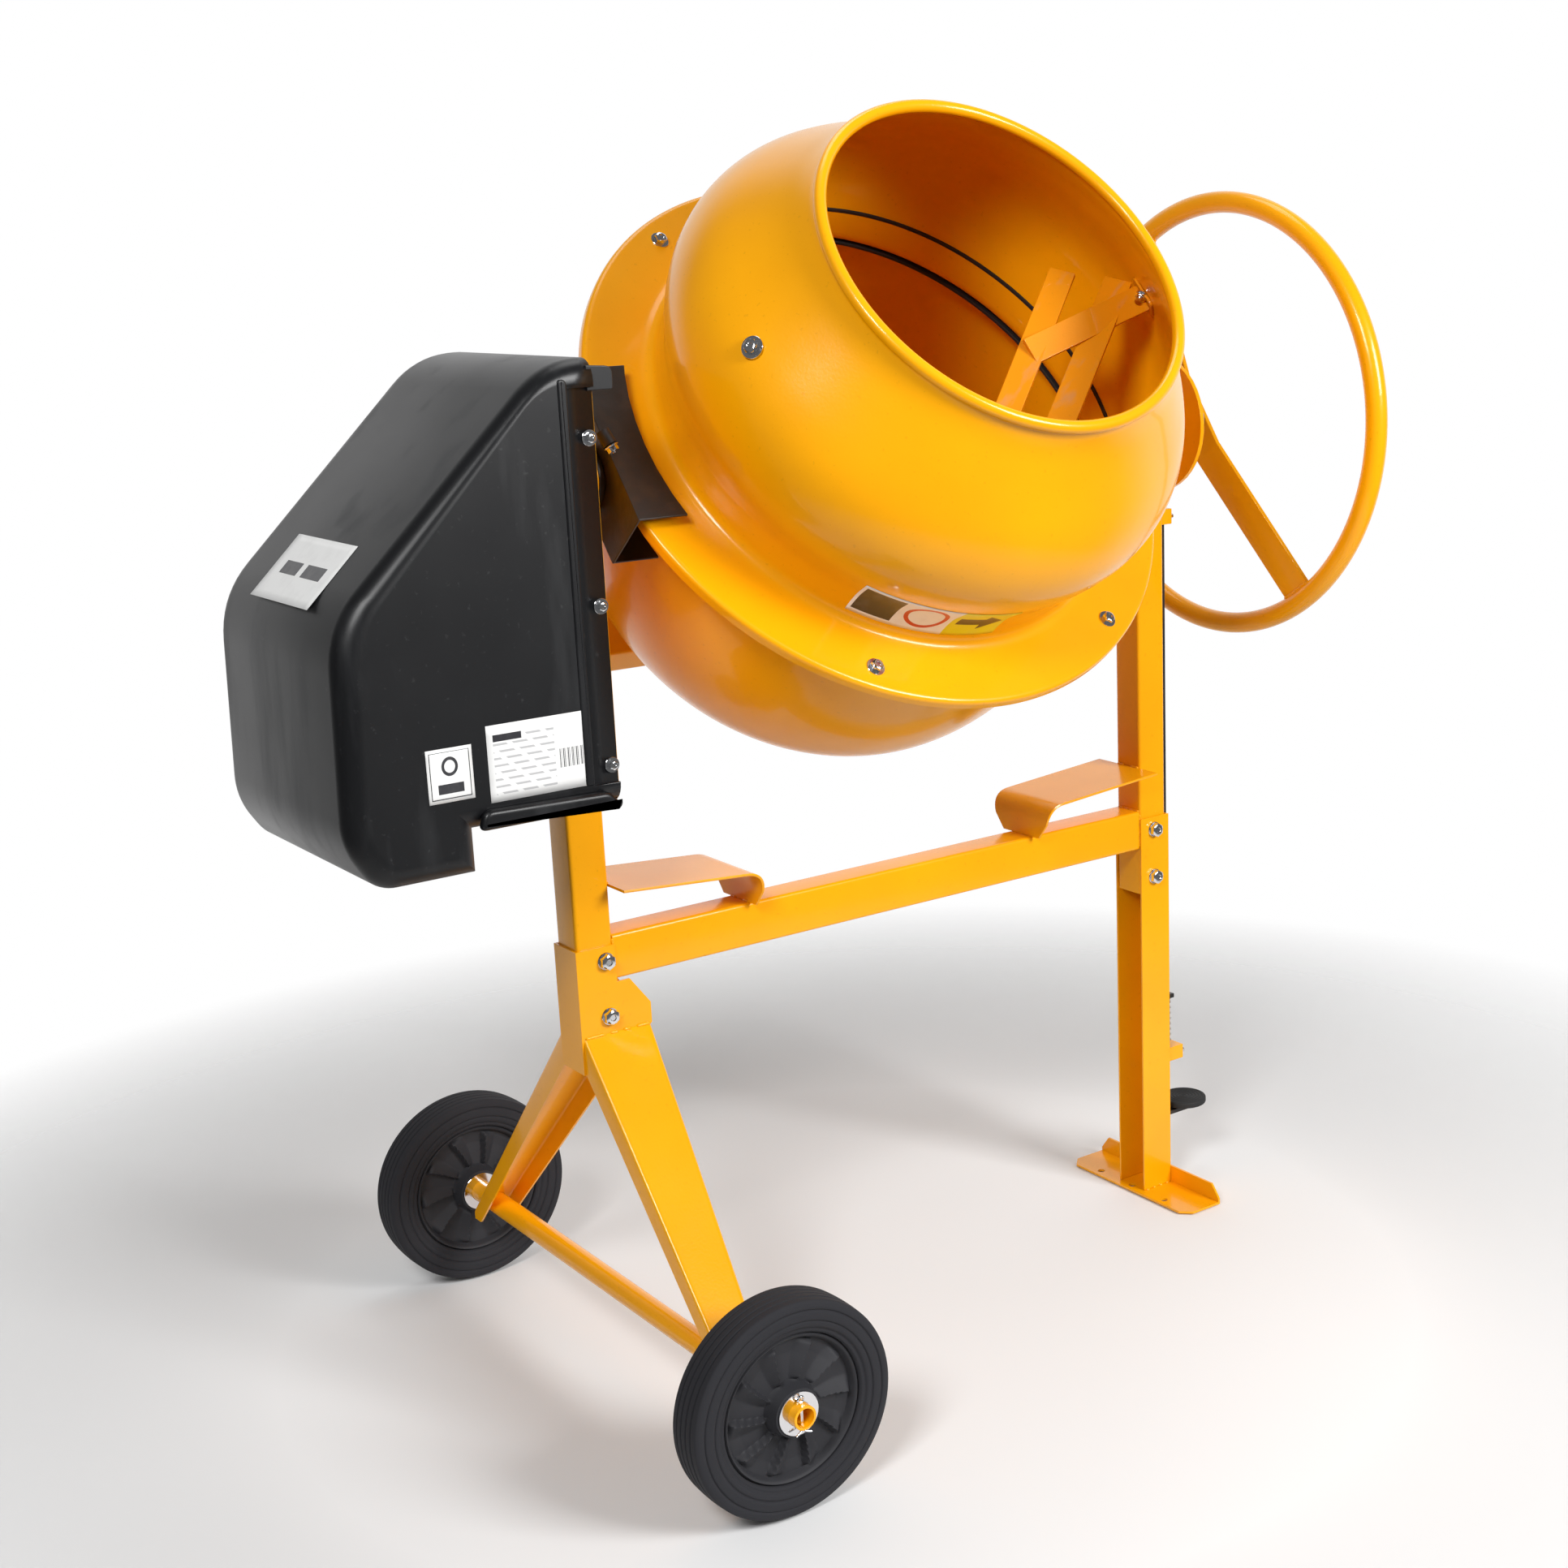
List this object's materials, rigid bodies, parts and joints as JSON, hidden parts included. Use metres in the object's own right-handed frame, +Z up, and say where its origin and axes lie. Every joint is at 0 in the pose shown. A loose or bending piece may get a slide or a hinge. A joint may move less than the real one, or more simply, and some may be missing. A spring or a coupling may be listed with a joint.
{
  "type": "concrete mixer",
  "caption": "Electric tilting-drum concrete mixer on a two-wheeled steel stand, with ring-gear drum drive, covered belt drive, tilting handwheel and foot-pedal tilt lock.",
  "frame": {"origin": "on the ground under the middle of the whole machine's bounding box", "axes": "+Z up; -Y is the side that the drum's mouth faces; +X towards the tilting handwheel; the tilting axis is parallel to X"},
  "size_m": [1.3166, 0.818, 1.4298],
  "materials": {
    "yellow_paint": "glossy yellow-orange powder coat",
    "zinc_plate": "bright zinc plating",
    "black_plastic": "fine-textured satin black moulding",
    "wheel_plastic": "satin black moulding",
    "tyre_rubber": "matte moulded rubber",
    "black_rubber": "matte",
    "black_steel": "semi-gloss black paint",
    "bright_steel": "machined, lightly oiled",
    "cast_iron": "as cast with machined faces",
    "motor_grey": "satin grey enamel",
    "green_plastic": "glossy",
    "red_plastic": "glossy"
  },
  "bodies": {
    "stand": {"axle_tube": "yellow_paint", "crossbar": "yellow_paint", "drive_belt": "black_rubber", "foot_plate": "yellow_paint", "front_wheel_leg": "yellow_paint", "left_bearing_block": "yellow_paint", "left_leg_bolt_lower": "zinc_plate", "left_leg_bolt_upper": "zinc_plate", "left_post": "yellow_paint", "left_shelf": "yellow_paint", "leg_sleeve": "yellow_paint", "lock_spring": "bright_steel", "lower_lock_guide": "yellow_paint", "motor_body": "motor_grey", "motor_bracket": "black_steel", "motor_cover": "black_plastic", "motor_plate": "yellow_paint", "power_inlet": "black_plastic", "rear_wheel_leg": "yellow_paint", "right_bearing_block": "yellow_paint", "right_leg": "yellow_paint", "right_leg_bolt_lower": "zinc_plate", "right_leg_bolt_upper": "zinc_plate", "right_post": "yellow_paint", "right_shelf": "yellow_paint", "switch_box": "black_plastic", "upper_lock_guide": "yellow_paint"},
    "wheel_front": {"front_wheel_tyre": "tyre_rubber", "front_wheel_rim": "wheel_plastic"},
    "wheel_rear": {"rear_wheel_tyre": "tyre_rubber", "rear_wheel_rim": "wheel_plastic"},
    "yoke": {"yoke_left_arm": "yellow_paint", "yoke_right_arm": "yellow_paint", "yoke_beam": "yellow_paint", "drum_shaft": "bright_steel", "trunnion_sleeve": "bright_steel", "trunnion_boss": "black_steel", "shaft_bush": "cast_iron", "pinion_guard": "black_steel", "tilt_shaft": "bright_steel", "lock_disc": "yellow_paint", "handwheel_spoke": "yellow_paint", "handwheel_ring": "yellow_paint"},
    "drum": {"upper_drum": "yellow_paint", "lower_drum": "yellow_paint", "drum_seal": "black_rubber", "ring_gear": "cast_iron", "drum_hub": "cast_iron", "drum_bearing": "bright_steel", "mixing_blade_1": "yellow_paint", "mixing_blade_2": "yellow_paint"},
    "pinion_line": {"pinion_shaft": "bright_steel", "pinion": "cast_iron", "belt_pulley": "cast_iron"},
    "motor_rotor": {"motor_pulley": "bright_steel"},
    "tilt_lock": {"lock_bar": "black_steel", "pedal_pad": "black_rubber"},
    "start_key": {"start_button": "green_plastic"},
    "stop_key": {"stop_button": "red_plastic"}
  },
  "joints": [
    {"name": "drum_tilt", "type": "hinge", "parent": "stand", "child": "yoke", "pos_m": [0, 0, 1.0453], "axis": [1, 0, 0], "range_deg": [-50.8, 85]},
    {"name": "drum_spin", "type": "hinge", "parent": "yoke", "child": "drum", "pos_m": [0.08099, 0, 1.0453], "axis": [0, -0.7749, 0.632], "continuous": true},
    {"name": "pinion_spin", "type": "hinge", "parent": "yoke", "child": "pinion_line", "pos_m": [0, 0, 1.0453], "axis": [1, 0, 0], "continuous": true},
    {"name": "motor_spin", "type": "hinge", "parent": "stand", "child": "motor_rotor", "pos_m": [0, 0, 0.832], "axis": [1, 0, 0], "continuous": true},
    {"name": "front_wheel_roll", "type": "hinge", "parent": "stand", "child": "wheel_front", "pos_m": [-0.33621, -0.367, 0.12], "axis": [0, 1, 0], "continuous": true},
    {"name": "rear_wheel_roll", "type": "hinge", "parent": "stand", "child": "wheel_rear", "pos_m": [-0.33621, 0.367, 0.12], "axis": [0, 1, 0], "continuous": true},
    {"name": "pedal_press", "type": "slide", "parent": "stand", "child": "tilt_lock", "axis": [0, 0, -1], "range_m": [0, 0.025], "stiffness_N_per_m": 600, "springref_m": -0.03, "deforming": ["lock_spring"]},
    {"name": "start_press", "type": "slide", "parent": "stand", "child": "start_key", "axis": [0, -1, 0], "range_m": [0, 0.004], "stiffness_N_per_m": 400, "springref_m": -0.001},
    {"name": "stop_press", "type": "slide", "parent": "stand", "child": "stop_key", "axis": [0, -1, 0], "range_m": [0, 0.004], "stiffness_N_per_m": 400, "springref_m": -0.001}
  ],
  "couplings": [
    {"joint": "pinion_spin", "follows": "drum_spin", "ratio": 16},
    {"joint": "motor_spin", "follows": "drum_spin", "ratio": 96}
  ]
}
